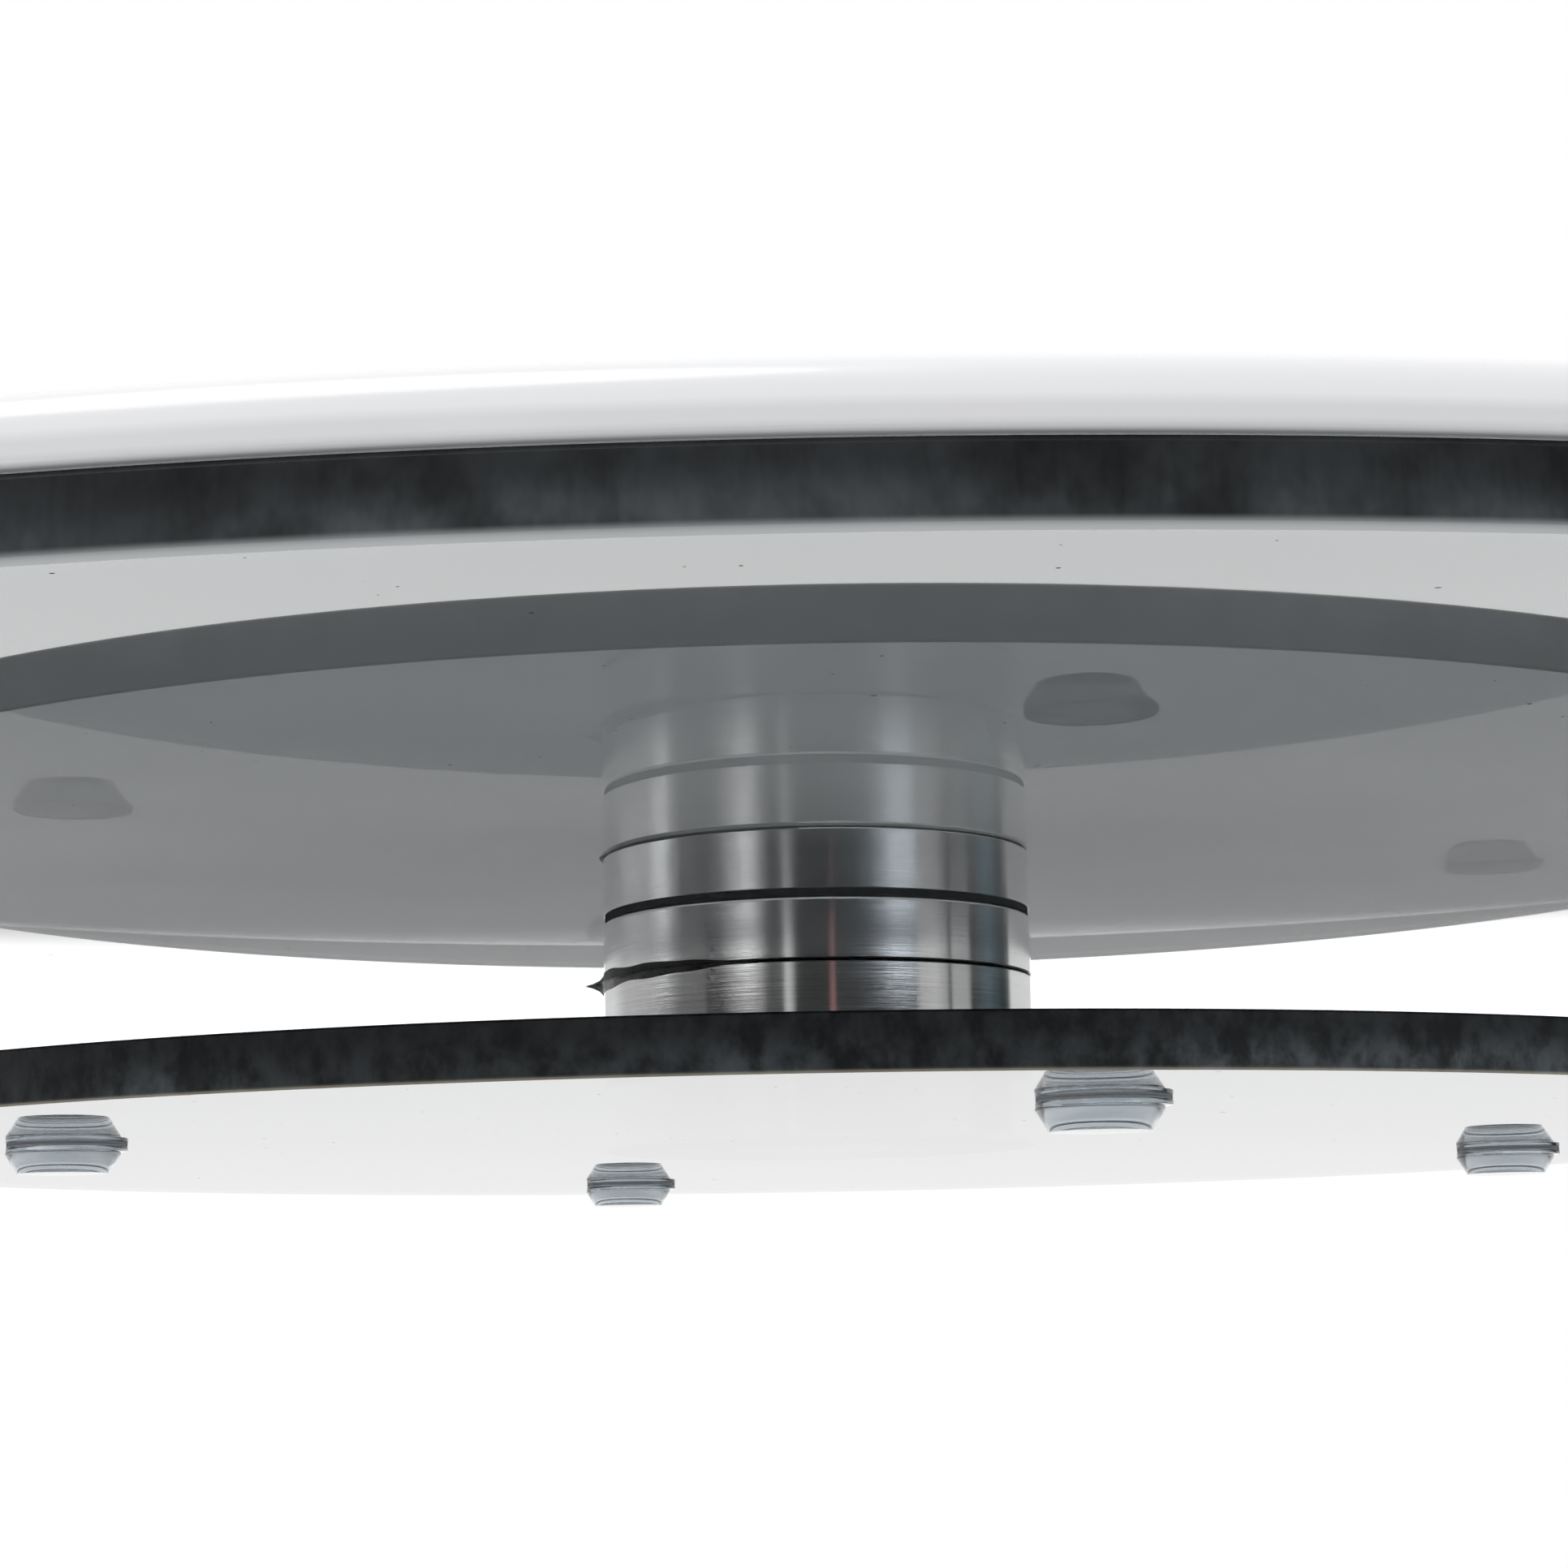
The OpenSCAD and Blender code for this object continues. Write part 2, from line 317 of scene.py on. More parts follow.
def grey_glass(name, radius, arris, z_low, z_high, density, cloud, powder, frost, frost_tint):
    """Grey float glass, clear on its faces, with a dark ground edge.

    density is how strongly it takes light, cloud how fine the blotches of grinding dust in its wall are, per
    metre, powder how much dust the wall holds and frost how white the seaming belt left the lower arris.
    """
    material, tree, shader = principled(name, IOR=1.52, Transmission_Weight=1.0)
    far, level = radius_and_height(tree)
    edge = calc(tree, "GREATER_THAN", far, (radius - arris - GROUND_SOFT) * MM)

    smear = grain(tree, 9.0, detail=6.0)
    link(tree, fade(tree, smear, 0.45, 0.75, 0.0, 0.018), shader, "Roughness")

    # Little light comes back out of the ground rim of grey glass, but seen from inside it glows with
    # what is behind it
    blotch = grain(tree, cloud, detail=4.0, stretch=(1.0, 1.0, 0.8), roughness=0.6)
    worn = grain(tree, 22.0, detail=2.0)
    scratch = grain(tree, 1700.0, detail=3.0, stretch=(1.0, 1.0, 0.25))
    rim = add(tree, "ShaderNodeBsdfPrincipled", {"IOR": 1.3})
    soot = ramp(tree, blotch, [(0.4, (0.004, 0.005, 0.006)), (0.6, (0.012, 0.014, 0.016))])
    link(tree, soot, rim, "Base Color")
    link(tree, fade(tree, scratch, 0.3, 0.7, 0.38, 0.6), rim, "Roughness")
    link(tree, bump(tree, scratch, 0.3, 0.00004), rim, "Normal")
    inside = add(tree, "ShaderNodeNewGeometry").outputs["Backfacing"]
    let_in = add(tree, "ShaderNodeBsdfTranslucent", {"Color": (0.93, 0.96, 0.96, 1.0)})
    body = mix_shaders(tree, edge, shader, mix_shaders(tree, inside, rim, let_in))

    # Grinding dust in the wall, thicker towards the lower arris, in soft blotches and fine upright lines
    low_side = fade(tree, level, (z_high - 0.9) * MM, (z_low + 0.3) * MM, 0.2, 1.15)
    clouds = fade(tree, blotch, 0.32, 0.68, 0.15, 1.1)
    stretches = fade(tree, worn, 0.4, 0.6, 0.3, 1.0)
    smears = calc(tree, "MINIMUM", times(tree, clouds, stretches), 1.0)
    lines = fade(tree, scratch, 0.3, 0.7, 0.85, 1.0)
    outer = times(tree, edge, calc(tree, "SUBTRACT", 1.0, inside))
    veil = times(tree, smears, low_side, lines, outer, powder)
    walled = mix_shaders(tree, veil, body, matt(tree, (0.112, 0.126, 0.133), Roughness=0.6))

    seam = fade(tree, level, (z_low + 2.1 * arris) * MM, (z_low + 0.1 * arris) * MM)
    seamed = times(tree, seam, outer, frost)
    frosted = mix_shaders(tree, seamed, walled, matt(tree, frost_tint, Roughness=0.8))

    # A few dark specks on the polished faces
    dots = fade(tree, grain(tree, 1500.0, detail=0.0), 0.9, 0.905)
    speck = times(tree, dots, calc(tree, "SUBTRACT", 1.0, edge))
    dirty = mix_shaders(tree, speck, frosted, matt(tree, (0.02, 0.02, 0.02)))
    to_output(tree, dirty, absorption(tree, (0.04, 0.085, 0.11), density))
    return material


def white_plate():
    """Polished white plate with the faintest clouding, and painted shade darkening its rim where it meets
    the glass.
    """
    material, tree, shader = principled("white_plate", IOR=1.5, Coat_Weight=0.25, Coat_Roughness=0.04)
    cloud = grain(tree, 14.0, detail=5.0)
    tone = ramp(tree, cloud, [(0.3, (0.84, 0.842, 0.85)), (0.7, (0.865, 0.867, 0.875))])
    # Painted shade: the rim's colour darkens towards the glass, to three tenths at its foot
    _, level = radius_and_height(tree)
    low = height("work_plate", False)
    rise = calc(tree, "DIVIDE", calc(tree, "SUBTRACT", level, low * MM), PAINTED_SHADE_H * MM)
    painted_shade_stops = [(0.0, 0.3), (0.1, 0.45), (0.22, 0.78), (0.35, 0.88), (0.6, 0.88), (0.88, 1.0)]
    shade = ramp(tree, rise, [(at, (value,) * 3) for at, value in painted_shade_stops])
    link(tree, mix_colours(tree, 1.0, tone, shade, "MULTIPLY"), shader, "Base Color")
    rub = grain(tree, 60.0, detail=6.0)
    link(tree, fade(tree, rub, 0.3, 0.75, 0.16, 0.26), shader, "Roughness")
    link(tree, bump(tree, grain(tree, 900.0), 0.03, 0.00002), shader, "Normal")
    return material


def turned_aluminium():
    """Lathe-turned aluminium: fine rings round the axis, which blur reflections along it."""
    material, tree, shader = principled(
        "turned_aluminium", Metallic=1.0, Anisotropic=0.75, Anisotropic_Rotation=0.25
    )
    tangent = add(tree, "ShaderNodeTangent", direction_type="RADIAL", axis="Z").outputs[0]
    link(tree, tangent, shader, "Tangent")
    lines = grain(tree, 60.0, detail=4.0, stretch=(1.0, 1.0, 52.0), roughness=0.7)
    broad = grain(tree, 18.0, detail=3.0, stretch=(1.0, 1.0, 22.0))
    stain = grain(tree, 95.0, detail=6.0, roughness=0.65)
    tone = calc(tree, "ADD", times(tree, lines, 0.35), times(tree, broad, 0.65))
    colour = ramp(tree, tone, [(0.3, (0.78, 0.785, 0.79)), (0.7, (0.9, 0.9, 0.905))])
    link(tree, colour, shader, "Base Color")
    turned = fade(tree, lines, 0.3, 0.7, 0.05, 0.1)
    stained = fade(tree, stain, 0.55, 0.75, 0.0, 0.05)
    link(tree, calc(tree, "ADD", turned, stained), shader, "Roughness")
    dents = fade(tree, grain(tree, 240.0, detail=2.0), 0.7, 0.78)
    relief = calc(tree, "SUBTRACT", lines, dents)
    link(tree, bump(tree, relief, 0.5, 0.00001), shader, "Normal")
    return material


def adhesive():
    """Cured smoke-grey adhesive with a fine skin."""
    material, tree, shader = principled("adhesive", IOR=1.48, Specular_IOR_Level=0.3)
    cloud = grain(tree, 500.0, detail=4.0)
    smoke = ramp(tree, cloud, [(0.35, (0.012, 0.012, 0.012)), (0.7, (0.06, 0.06, 0.055))])
    link(tree, smoke, shader, "Base Color")
    link(tree, fade(tree, cloud, 0.3, 0.7, 0.18, 0.4), shader, "Roughness")
    link(tree, bump(tree, grain(tree, 1400.0), 0.4, 0.00008), shader, "Normal")
    return material


def clear_bumper():
    """Clear cast polyurethane, slightly blue, with painted shade on its bonded top for the light that leaves
    there into the glass.
    """
    material, tree, shader = principled("clear_bumper", IOR=1.49, Transmission_Weight=1.0)
    skin = grain(tree, 350.0, detail=3.0)
    link(tree, fade(tree, skin, 0.35, 0.75, 0.0, 0.03), shader, "Roughness")
    _, level = radius_and_height(tree)
    # Painted shade: a dark matt patch on the top face, patchy where the adhesive wets it, stands in for
    # light lost into the glass
    top = calc(tree, "GREATER_THAN", level, (height("foot_1", True) - 0.03) * MM)
    wetted_shade = fade(tree, grain(tree, 120.0, detail=1.0), 0.3, 0.7, 0.4, 0.2)
    bonded = mix_shaders(tree, times(tree, top, wetted_shade), shader, matt(tree, (0.07, 0.085, 0.1)))
    to_output(tree, bonded, absorption(tree, (0.3, 0.42, 0.5), 80.0))
    return material


def pad_adhesive():
    """The bumper's acrylic adhesive: clear where it wets the glass, cloudy round air, grey where cut."""
    material, tree, shader = principled("pad_adhesive", IOR=1.47)
    air = grain(tree, 220.0, detail=1.0)
    milky = ramp(tree, air, [(0.4, (0.42, 0.44, 0.45)), (0.7, (0.7, 0.72, 0.73))])
    link(tree, milky, shader, "Base Color")
    link(tree, fade(tree, air, 0.3, 0.7, 0.3, 0.5), shader, "Roughness")
    clear = add(tree, "ShaderNodeBsdfTransparent")
    clouded = fade(tree, air, 0.4, 0.75, 0.08, 0.4)
    normal = add(tree, "ShaderNodeNewGeometry").outputs["Normal"]
    facing = add(tree, "ShaderNodeSeparateXYZ", {0: normal})
    cut_edge = calc(tree, "LESS_THAN", calc(tree, "ABSOLUTE", facing.outputs["Z"]), 0.7)
    face = mix_shaders(tree, clouded, clear, shader)
    to_output(tree, mix_shaders(tree, cut_edge, face, matt(tree, (0.2, 0.21, 0.22))))
    return material


def metal(name, dark, light, rough, scale=180.0, stretch=(1.0, 1.0, 1.0), relief=0.2):
    """A metal for the inner pieces: two tones of one colour, with its own grain."""
    material, tree, shader = principled(name, Metallic=1.0)
    tone = grain(tree, scale, detail=5.0, stretch=stretch)
    link(tree, ramp(tree, tone, [(0.3, dark), (0.7, light)]), shader, "Base Color")
    link(tree, fade(tree, tone, 0.3, 0.7, rough, rough + 0.12), shader, "Roughness")
    link(tree, bump(tree, tone, relief, 0.00001), shader, "Normal")
    return material


def plain(name, dark, light, rough, scale=200.0, relief=0.3, depth=0.00003, **inputs):
    """A non-metal with two tones and a fine surface."""
    material, tree, shader = principled(name, **inputs)
    tone = grain(tree, scale, detail=6.0)
    link(tree, ramp(tree, tone, [(0.3, dark), (0.7, light)]), shader, "Base Color")
    link(tree, fade(tree, tone, 0.3, 0.7, rough, min(1.0, rough + 0.15)), shader, "Roughness")
    link(tree, bump(tree, tone, relief, depth), shader, "Normal")
    return material


# Density, cloud, powder, frost and frost tint of the two discs, as grey_glass takes them
WHEEL_FINISH = (100.0, 120.0, 0.75, 0.85, (0.5, 0.52, 0.52))
BASE_FINISH = (140.0, 330.0, 0.9, 0.3, (0.5, 0.45, 0.34))


# ---------------------------------------------------------------- pieces


def build_plate():
    """The white plate: a deep round on its upper edge, a small one where it meets the glass."""
    low, high = height("work_plate", False), height("work_plate", True)
    corners = [(0, low, 0), (WHEEL_R, low, PLATE_LIP), (WHEEL_R, high, PLATE_ROUND), (0, high, 0)]
    outline = rounded(corners, steps=14)
    piece = revolve("polished_plate", outline, DISC_STEPS)
    place(piece, "wheel", white_plate(), "work_plate")


def build_disc(name, node, radius, arris, body, sink, *finish):
    """A glass disc with ground arrises; sink beds its top in what is bonded on it."""
    low, high = height(node, False), height(node, True) + sink
    inner = radius - arris
    corners = [
        (0, low, 0),
        (inner, low, GROUND_SOFT),
        (radius, low + arris, GROUND_SOFT),
        (radius, high - arris, GROUND_SOFT),
        (inner, high, GROUND_SOFT),
        (0, high, 0),
    ]
    piece = revolve(name, rounded(corners, steps=3), DISC_STEPS)
    place(piece, body, grey_glass(node, radius, arris, low, high, *finish), node)


def build_lower_ring(material):
    """Recessed for the bolt's head below, grooved for the seal and the race above."""
    low, high = height("lower_housing", False), height("lower_housing", True)
    race_floor = height("lower_race", False)
    seal_floor = height("dust_seal", False)
    head_top = height("centre_bolt", False) + HEAD_H
    rim = HOUSING_R - HOUSING_CHAMFER
    corners = [
        (COUNTERBORE_R, low, BORE_SOFT),
        (rim, low, TURNED_SOFT),
        (HOUSING_R, low + HOUSING_CHAMFER, TURNED_SOFT),
        (HOUSING_R, high, GAP_BREAK),
        (SEAL_OUT_R, high, TURNED_SOFT),
        (SEAL_OUT_R, seal_floor, 0),
        (SEAL_IN_R, seal_floor, 0),
        (SEAL_IN_R, high, TURNED_SOFT),
        (RACE_OUT_R, high, 0),
        (RACE_OUT_R, race_floor, 0),
        (RACE_IN_R, race_floor, 0),
        (RACE_IN_R, high, 0),
        (BORE_R, high, TURNED_SOFT),
        (BORE_R, head_top, 0),
        (COUNTERBORE_R, head_top, 0),
    ]
    piece = revolve("lower_ring", rounded(corners, steps=4), RING_STEPS)
    place(piece, "base", material, "lower_housing")


def build_upper_ring(material):
    """Grooved for the race below, with a well for the nut above."""
    low, high = height("upper_housing", False), height("upper_housing", True)
    race_roof = height("upper_race", True)
    well_floor = low + WEB_T
    corners = [
        (BUSH_R, low, TURNED_SOFT),
        (RACE_IN_R, low, 0),
        (RACE_IN_R, race_roof, 0),
        (RACE_OUT_R, race_roof, 0),
        (RACE_OUT_R, low, 0),
        (HOUSING_R, low, GAP_ROUND),
        (HOUSING_R, high - RING_ARRIS, TURNED_SOFT),
        (HOUSING_R - RING_ARRIS, high, TURNED_SOFT),
        (WELL_R, high, TURNED_SOFT),
        (WELL_R, well_floor, 0),
        (BUSH_R, well_floor, 0),
    ]
    piece = revolve("upper_ring", rounded(corners, steps=4), RING_STEPS)
    place(piece, "wheel", material, "upper_housing")


def build_seal(material):
    """Felt ring that stands out of the lower ring's groove and fills the gap almost to the rim."""
    low, high = height("dust_seal", False), height("dust_seal", True)
    ledge = height("lower_housing", True) + CLEAR
    lip = HOUSING_R - SEAL_LIP
    corners = [
        (SEAL_IN_R + CLEAR, low + CLEAR, 0),
        (SEAL_OUT_R - CLEAR, low + CLEAR, 0),
        (SEAL_OUT_R - CLEAR, ledge, 0),
        (lip, ledge, 0.1),
        (lip, high, 0.15),
        (SEAL_IN_R + CLEAR, high, 0.1),
    ]
    piece = revolve("felt_seal", rounded(corners, steps=4), RING_STEPS)
    place(piece, "base", material, "dust_seal")


DOWN, UP = -1, 1         # which way a bead runs from the glass face


def bead(bm, z, side, start, sweep, reach, drop, seed):
    """Adhesive squeezed out along the glass face at z: a ragged fillet that tapers off at both ends.

    It covers sweep degrees from start. reach and drop take the way along it, 0 to 1, and give how far it
    stands out from the ring and how far it runs over the ring's wall, DOWN or UP from the glass face.
    """
    steps = max(12, int(sweep * 1.6))
    root = HOUSING_R - HOUSING_CHAMFER - 0.05
    film = HOUSING_R + 0.02
    face = z + side * 0.03
    rings = []
    for k in range(steps + 1):
        t = k / steps
        angle = math.radians(start + sweep * t)
        swell = math.sin(math.pi * t) ** 0.45
        ragged = 0.75 + 0.5 * noise.noise(Vector((t * 9.0, seed, 0.0)))
        out = reach(t) * swell * ragged
        run = side * drop(t) * swell * (0.8 + 0.4 * noise.noise(Vector((t * 7.0, seed, 5.0))))
        section = [
            (root, face),
            (HOUSING_R + out, face),
            (film + out * 0.62, face + run * 0.16),
            (film + out * 0.22, face + run * 0.5),
            (film, face + run),
            (HOUSING_R - 0.1, face + run),
        ]
        rings.append([bm.verts.new((r * math.cos(angle), r * math.sin(angle), h)) for r, h in section])
    for near, far in zip(rings, rings[1:]):
        bridge(bm, near, far)
    bm.faces.new(rings[0])
    bm.faces.new(rings[-1])


def bond_ring(bm, low, high):
    """The flat ring of adhesive, with a slightly bulged outer edge just inside the housings' wall."""
    edge, bulge = HOUSING_R - 0.24, HOUSING_R - 0.12
    outline = [(BOND_IN_R, low), (edge, low), (bulge, (low + high) / 2), (edge, high), (BOND_IN_R, high)]
    rings = [circle(bm, r, z, RING_STEPS) for r, z in outline]
    for i, ring in enumerate(rings):
        bridge(bm, ring, rings[(i + 1) % len(rings)])


def smeared_reach(t):
    """The long smear is broad at the left and thins to a quarter of a millimetre."""
    return 0.7 * (1 - t) ** 3 + 0.25


def smeared_drop(t):
    return 2.1 * (1 - 0.85 * t)


def spur_reach(t):
    """The pointed spur, about 3 mm long, two fifths of the way along."""
    return 2.9 * math.exp(-(((t - 0.4) / 0.22) ** 2)) + 0.2


def build_bonds(material):
    """Both adhesive layers, each with what was squeezed out of it."""
    low, top = height("upper_housing", True), height("wheel_glass", False)
    bm = bmesh.new()
    bond_ring(bm, low, top)
    bead(bm, top, DOWN, 171, 84, smeared_reach, smeared_drop, seed=1.3)
    bead(bm, top, DOWN, 173, 15, spur_reach, lambda t: 1.4, seed=6.2)
    bead(bm, top, DOWN, 8, 40, lambda t: 0.12, lambda t: 0.4, seed=4.1)
    piece = finish_mesh("upper_adhesive", bm)
    place(piece, "wheel", material, "upper_bond")

    low, top = height("base_glass", True), height("lower_housing", False)
    bm = bmesh.new()
    bond_ring(bm, low, top)
    bead(bm, low, UP, 178, 12, lambda t: 0.55, lambda t: 0.6, seed=2.2)
    bead(bm, low, UP, 196, 70, lambda t: 0.1, lambda t: 0.35, seed=7.7)
    piece = finish_mesh("lower_adhesive", bm)
    place(piece, "base", material, "base_bond")


def build_bumpers(material, glue):
    """Clear tapered bumpers; the die-cut flange and its adhesive disc sit a little off centre."""
    for i in range(1, 5):
        foot_low, foot_high = (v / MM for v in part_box(f"foot_{i}"))
        pad_high = height(f"foot_pad_{i}", True)
        axis_x, axis_y = foot_low.x + FOOT_R, (foot_low.y + foot_high.y) / 2
        flange_low = foot_high.z - FLANGE_T

        def centre_of(z):
            t = min(1.0, max(0.0, (z - flange_low + 0.05) / 0.1))
            return axis_x + FLANGE_SHIFT * t, axis_y

        corners = [
            (0, 0, 0),
            (SOLE_R, 0, 0.12),
            (FOOT_R, flange_low - 0.25, 0.15),
            (FOOT_R, flange_low - 0.05, 0.03),
            (FLANGE_R, flange_low + 0.05, 0.08),
            (FLANGE_R, foot_high.z - CLEAR, 0.12),
            (0, foot_high.z - CLEAR, 0),
        ]
        piece = revolve(f"bumper_{i}", rounded(corners), FOOT_STEPS, centre_of)
        place(piece, "base", material, f"foot_{i}")
        corners = [
            (0, foot_high.z, 0),
            (FLANGE_R - 0.08, foot_high.z, 0.05),
            (FLANGE_R - 0.05, pad_high - CLEAR, 0.05),
            (0, pad_high - CLEAR, 0),
        ]
        pad = revolve(f"bumper_pad_{i}", rounded(corners, steps=3), PAD_STEPS, centre_of)
        place(pad, "base", glue, f"foot_pad_{i}")


INNER = {
    "lower_race": "bearing_steel",
    "upper_race": "bearing_steel",
    "bearing_balls": "ball_steel",
    "ball_cage": "cage_brass",
    "centre_bush": "bronze",
    "centre_bolt": "black_steel",
    "lock_nut": "zinc_steel",
    "disc_spring": "spring_steel",
    "nylon_washer": "nylon",
    "plate_film": "film",
}


def inner_materials():
    """Procedural finishes for the CAD nodes that stay as they are."""
    return {
        "bearing_steel": metal(
            "bearing_steel", (0.42, 0.43, 0.45), (0.6, 0.61, 0.62), 0.12, 90.0, (1, 1, 40)
        ),
        "ball_steel": metal("ball_steel", (0.62, 0.63, 0.65), (0.75, 0.76, 0.77), 0.04, 400.0, relief=0.02),
        "cage_brass": metal("cage_brass", (0.55, 0.38, 0.13), (0.78, 0.58, 0.25), 0.25),
        "bronze": metal("bronze", (0.36, 0.2, 0.1), (0.62, 0.38, 0.2), 0.35, 260.0),
        "black_steel": metal("black_steel", (0.02, 0.02, 0.022), (0.06, 0.06, 0.065), 0.35, 320.0),
        "zinc_steel": metal("zinc_steel", (0.5, 0.52, 0.54), (0.74, 0.76, 0.77), 0.28, 140.0),
        "spring_steel": metal("spring_steel", (0.2, 0.22, 0.26), (0.4, 0.43, 0.48), 0.25, 200.0),
        "nylon": plain("nylon", (0.7, 0.68, 0.6), (0.82, 0.8, 0.72), 0.4, 160.0),
        "film": plain("film", (0.76, 0.77, 0.77), (0.84, 0.85, 0.85), 0.5, 40.0, 0.05),
    }


def dress_inner_nodes():
    finishes = inner_materials()
    for node, slot in INNER.items():
        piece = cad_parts[node]
        piece.data.materials.clear()
        piece.data.materials.append(finishes[slot])


# ---------------------------------------------------------------- studio


# What stands round the object, as (azimuth in degrees from the camera side towards +X, brightness, tint).
# STUDIO reaches a little below the horizon, where STUDIO_LOW takes over. Between two entries the level
# changes evenly.
NEUTRAL = (1.0, 1.0, 1.0)
BLUE = (0.92, 1.0, 1.07)
TEAL = (0.72, 1.0, 1.12)
RED = (1.6, 0.8, 0.8)
STUDIO = [
    (-180, 0.2, NEUTRAL),
    (-134, 0.42, NEUTRAL),
    (-118, 0.68, NEUTRAL),
    (-104, 0.54, NEUTRAL),
    (-89, 0.24, NEUTRAL),
    (-78, 0.19, NEUTRAL),
    (-62, 0.17, NEUTRAL),
    (-60, 0.06, NEUTRAL),
    (-51, 0.06, NEUTRAL),
    (-46, 0.2, NEUTRAL),
    (-37, 0.36, NEUTRAL),
    (-29, 0.26, NEUTRAL),
    (-26.5, 0.1, NEUTRAL),
    (-18, 0.1, NEUTRAL),
    (-16, 0.8, NEUTRAL),
    (-13, 0.5, NEUTRAL),
    (-11, 0.04, NEUTRAL),
    (6, 0.045, NEUTRAL),
    (8, 0.32, RED),
    (10, 0.05, NEUTRAL),
    (38, 0.025, BLUE),
    (53, 0.06, BLUE),
    (56, 0.5, NEUTRAL),
    (65, 0.72, NEUTRAL),
    (72.5, 0.5, NEUTRAL),
    (74.5, 0.1, NEUTRAL),
    (76.5, 0.6, NEUTRAL),
    (87, 0.55, NEUTRAL),
    (90, 0.05, NEUTRAL),
    (104, 0.13, TEAL),
    (123, 0.02, TEAL),
    (126, 1.1, NEUTRAL),
]
STUDIO_LOW = [
    (-180, 1.1, NEUTRAL),
    (-128, 2.2, NEUTRAL),
    (-102, 2.3, NEUTRAL),
    (-94, 4.0, NEUTRAL),
    (-88, 4.6, NEUTRAL),
    (-82, 2.0, NEUTRAL),
    (-76, 0.8, NEUTRAL),
    (-62, 0.5, NEUTRAL),
    (-53, 1.0, NEUTRAL),
    (-45, 2.6, NEUTRAL),
    (-38, 4.4, NEUTRAL),
    (-34, 3.8, NEUTRAL),
    (-28, 1.3, NEUTRAL),
    (-24, 0.4, NEUTRAL),
    (-20, 0.5, NEUTRAL),
    (-16, 1.5, NEUTRAL),
    (-10, 0.35, NEUTRAL),
    (-7, 0.14, NEUTRAL),
    (5, 0.12, NEUTRAL),
    (20, 0.3, BLUE),
    (28, 0.8, BLUE),
    (34, 2.0, BLUE),
    (42, 4.2, BLUE),
    (50, 4.0, BLUE),
    (57, 2.0, NEUTRAL),
    (66, 1.5, NEUTRAL),
    (74, 0.6, NEUTRAL),
    (84, 0.75, NEUTRAL),
    (92, 0.5, NEUTRAL),
    (103, 0.8, TEAL),
    (116, 0.35, NEUTRAL),
    (127, 1.3, NEUTRAL),
]
LOW_FROM, LOW_TO = -0.108, -0.135    # sines of the elevations between which the low list takes over
DIM_FROM, DIM_TO = -0.15, -0.17      # and between which it then fades halfway to dark grey

# The white sweep behind the object: (elevation in degrees, brightness)
SWEEP = [
    (-24, 1.35),
    (-15, 1.58),
    (-13, 1.52),
    (-11, 1.42),
    (-9, 1.32),
    (-7, 1.2),
    (-4.3, 1.12),
    (-2, 1.04),
    (0, 0.95),
    (2, 0.64),
    (24, 0.64),
]
LIT_STRIP = 0.85         # how much brighter the sweep's middle is between LIT_FROM and LIT_TO degrees
LIT_FROM, LIT_TO = -6.9, -4.35
OVERHEAD = 1.0           # brightness of the ceiling and of the ground
NADIR = 1.55
EYE_BAND = 0.27          # sine of the elevation where the studio walls give way to ceiling or ground

# Camera place in millimetres, lens in millimetres, and turns in degrees
EYE = (0.0, -386.2, -16.37)
LENS = 74.7
PITCH = 9.327
YAW = -0.53
ROLL = -0.995

LAMP = (-500.0, -250.0, 1500.0)      # place of the overhead light, which points at the origin
FLOOR_R = 6000.0


def cards(tree, turn, entries):
    """One list of studio cards as a colour ramp round the horizon."""
    return ramp(tree, turn, [(a / 360 + 0.5, tuple(level * c for c in tint)) for a, level, tint in entries])


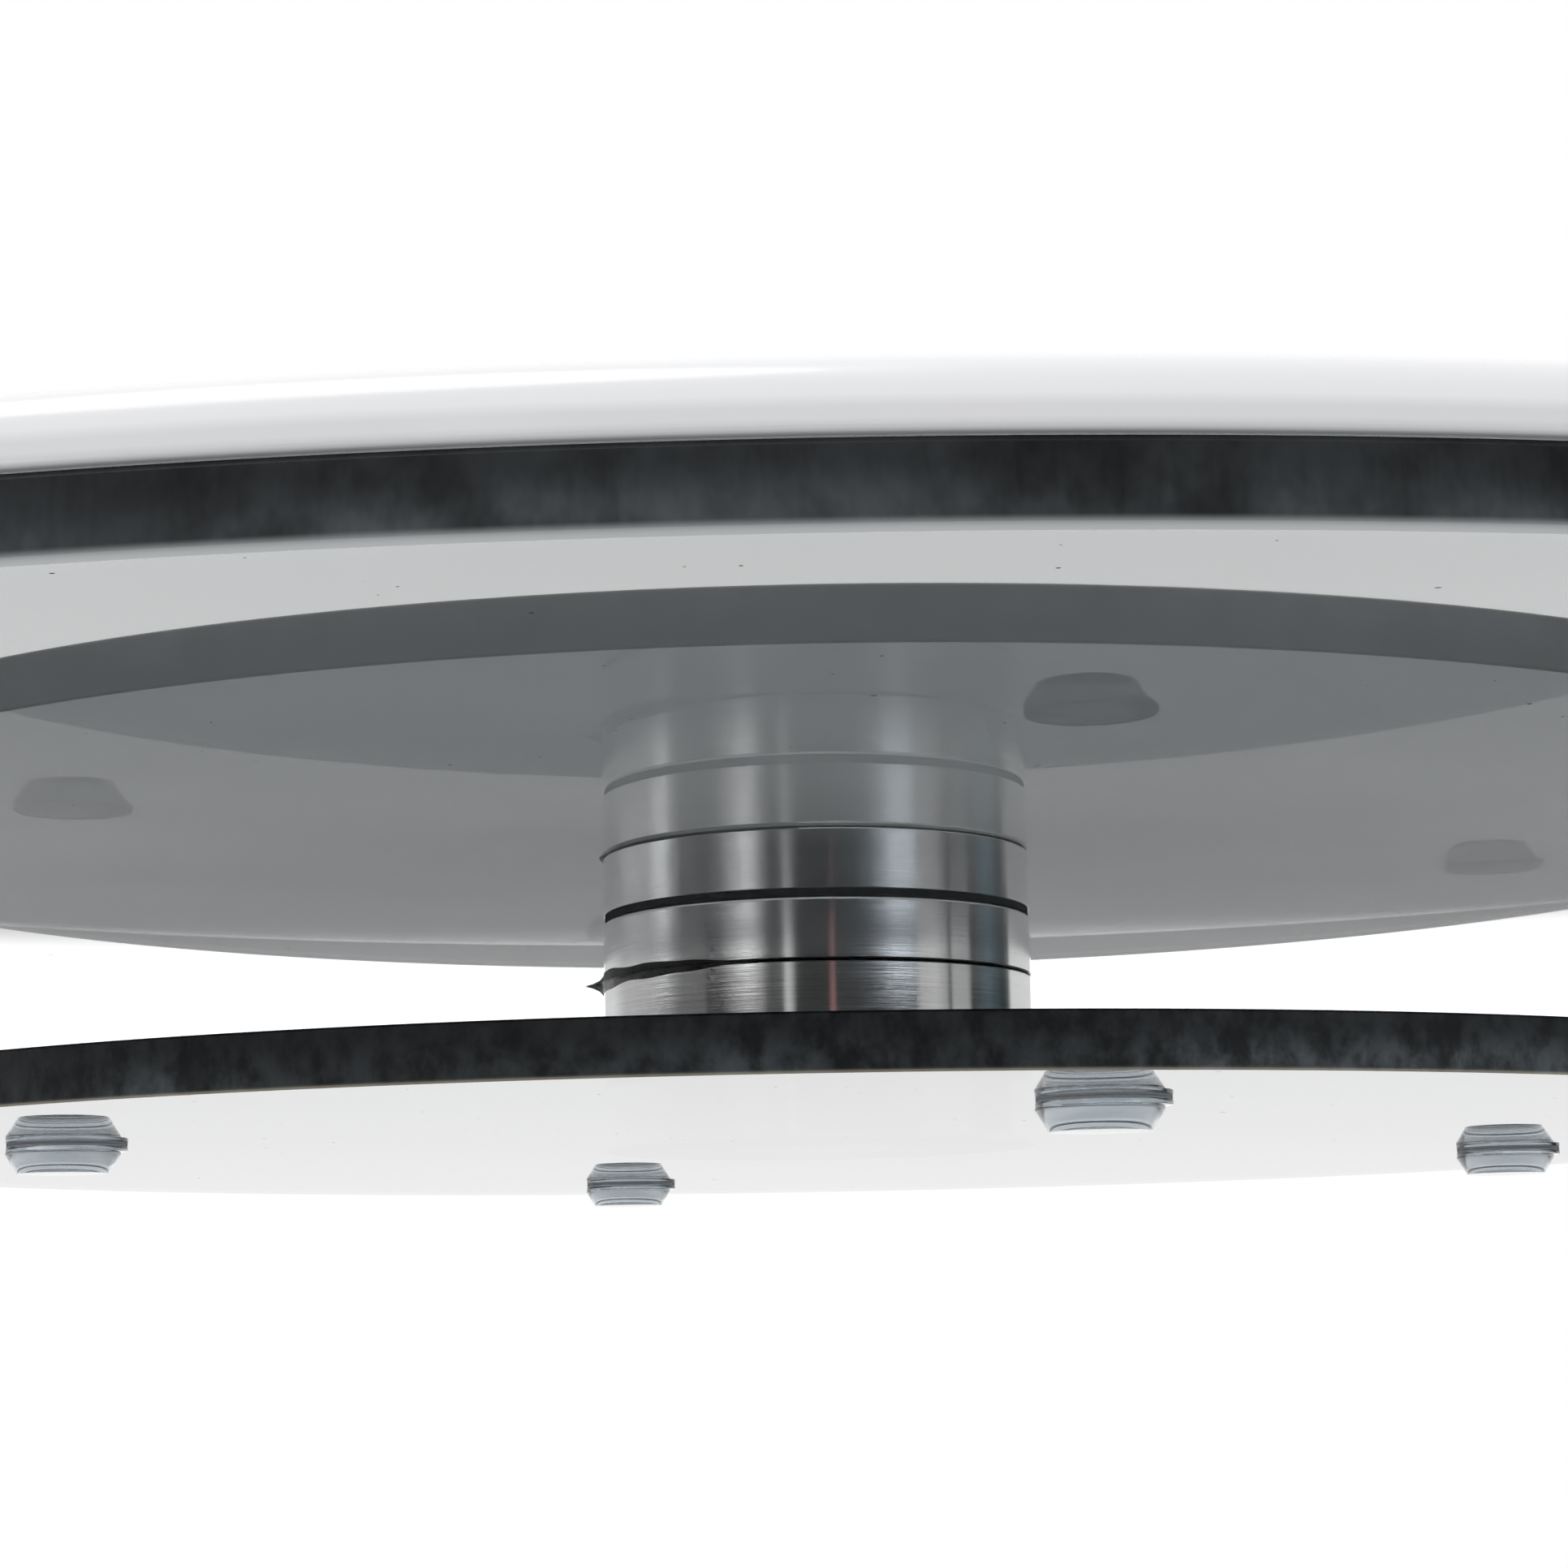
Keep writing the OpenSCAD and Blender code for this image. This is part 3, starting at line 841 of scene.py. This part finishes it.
def build_world():
    """White to the camera; for everything else a studio with dark and light cards round it."""
    world = bpy.data.worlds.new("studio")
    bpy.context.scene.world = world
    world.use_nodes = True
    tree = world.node_tree
    tree.nodes.clear()
    coords = add(tree, "ShaderNodeTexCoord").outputs["Generated"]
    split = add(tree, "ShaderNodeSeparateXYZ", {0: coords})
    x, y, z = (split.outputs[k] for k in "XYZ")
    azimuth = calc(tree, "ARCTAN2", x, times(tree, y, -1.0))
    turn = calc(tree, "ADD", calc(tree, "DIVIDE", azimuth, math.tau), 0.5)
    lower = fade(tree, z, LOW_FROM, LOW_TO)
    walls = mix_colours(tree, lower, cards(tree, turn, STUDIO), cards(tree, turn, STUDIO_LOW))
    walls = mix_colours(tree, fade(tree, z, DIM_FROM, DIM_TO, 0.0, 0.5), walls, (0.1, 0.1, 0.1, 1.0))

    # The ramp behind the object spans the sines of the SWEEP list's elevations
    behind = fade(tree, y, 0.45, 0.8)
    reach = math.sin(math.radians(SWEEP[-1][0]))
    rise = calc(tree, "ADD", calc(tree, "DIVIDE", z, 2 * reach), 0.5)
    stops = [(math.sin(math.radians(e)) / (2 * reach) + 0.5, (level,) * 3) for e, level in SWEEP]
    low, high = (math.sin(math.radians(e)) for e in (LIT_FROM, LIT_TO))
    over, under = fade(tree, z, low, low + 0.009), fade(tree, z, high, high - 0.008)
    middle = fade(tree, y, 0.95, 0.962)
    strip = times(tree, over, under, middle, LIT_STRIP)
    sweep = mix_colours(tree, 1.0, ramp(tree, rise, stops), strip, "ADD")
    around = mix_colours(tree, behind, walls, sweep)

    up = fade(tree, z, EYE_BAND, EYE_BAND + 0.2)
    down = fade(tree, z, -EYE_BAND, -EYE_BAND - 0.25)
    sky = (OVERHEAD, OVERHEAD, OVERHEAD * 1.01, 1.0)
    ground = (NADIR, NADIR, NADIR, 1.0)
    colour = mix_colours(tree, up, around, sky)
    colour = mix_colours(tree, down, colour, ground)
    lit = add(tree, "ShaderNodeBackground", {"Color": colour, "Strength": 1.0})
    plain_white = add(tree, "ShaderNodeBackground", {"Color": (1, 1, 1, 1), "Strength": 1.0})
    seen = add(tree, "ShaderNodeLightPath").outputs["Is Camera Ray"]
    out = add(tree, "ShaderNodeOutputWorld")
    tree.links.new(mix_shaders(tree, seen, lit, plain_white).outputs[0], out.inputs["Surface"])


def build_floor():
    """A pale floor under the feet. It shows from above, directly or through glass, and fades out far off."""
    bm = bmesh.new()
    bmesh.ops.create_circle(bm, cap_ends=True, radius=FLOOR_R, segments=96)
    floor = finish_mesh("floor", bm)
    if floor.data.polygons[0].normal.z < 0:
        floor.data.flip_normals()
    material, tree, shader = principled("pale_floor", Specular_IOR_Level=0.25, Roughness=0.7)
    tone = grain(tree, 6.0, detail=4.0)
    pale = ramp(tree, tone, [(0.3, (0.76, 0.76, 0.755)), (0.7, (0.79, 0.79, 0.785))])
    link(tree, pale, shader, "Base Color")
    far, _ = radius_and_height(tree)
    path = add(tree, "ShaderNodeLightPath")
    under = add(tree, "ShaderNodeNewGeometry").outputs["Backfacing"]
    bounced = calc(tree, "MAXIMUM", path.outputs["Glossy Depth"], path.outputs["Diffuse Depth"])
    mirrored = calc(tree, "GREATER_THAN", bounced, 0.5)
    away = fade(tree, far, 0.9, 2.6)
    hidden = calc(tree, "MAXIMUM", calc(tree, "MAXIMUM", under, mirrored), away)
    clear = add(tree, "ShaderNodeBsdfTransparent")
    to_output(tree, mix_shaders(tree, hidden, shader, clear))
    floor.data.materials.append(material)
    floor.visible_diffuse = False
    floor.visible_glossy = False
    floor.visible_shadow = False


def build_camera():
    """Just below the soles, looking up under the wheel."""
    data = bpy.data.cameras.new("camera")
    data.sensor_width = 36.0
    data.lens = LENS
    data.clip_start = 0.01
    camera = bpy.data.objects.new("camera", data)
    bpy.context.scene.collection.objects.link(camera)
    camera.location = Vector(EYE) * MM
    turn = Euler((0.0, 0.0, math.radians(-YAW))).to_matrix()
    tilt = Euler((math.radians(90 + PITCH), 0.0, 0.0)).to_matrix()
    lean = Euler((0.0, 0.0, math.radians(ROLL))).to_matrix()
    camera.rotation_euler = (turn @ tilt @ lean).to_euler()
    bpy.context.scene.camera = camera


def build_light():
    """One broad soft light overhead, so that the wheel throws a soft shadow."""
    data = bpy.data.lights.new("overhead", "AREA")
    data.shape = "DISK"
    data.size = 1.1
    data.energy = 9.0
    light = bpy.data.objects.new("overhead", data)
    bpy.context.scene.collection.objects.link(light)
    light.location = Vector(LAMP) * MM
    light.rotation_euler = Vector(LAMP).to_track_quat("Z", "Y").to_euler()
    light.visible_camera = False


def set_render_look():
    scene = bpy.context.scene
    scene.view_settings.view_transform = "Standard"
    scene.cycles.max_bounces = 24
    scene.cycles.glossy_bounces = 10
    scene.cycles.transmission_bounces = 16
    scene.cycles.use_denoising = True


build_camera()
build_world()
build_light()
build_floor()
build_plate()
build_disc("wheel_disc", "wheel_glass", WHEEL_R, WHEEL_ARRIS, "wheel", 0.02, *WHEEL_FINISH)
build_disc("base_disc", "base_glass", BASE_R, BASE_ARRIS, "base", 0.0, *BASE_FINISH)
aluminium = turned_aluminium()
build_lower_ring(aluminium)
build_upper_ring(aluminium)
build_seal(plain("felt", (0.006, 0.006, 0.006), (0.03, 0.03, 0.03), 0.85, 2500.0, 0.8, 0.0002))
build_bonds(adhesive())
build_bumpers(clear_bumper(), pad_adhesive())
dress_inner_nodes()
set_render_look()
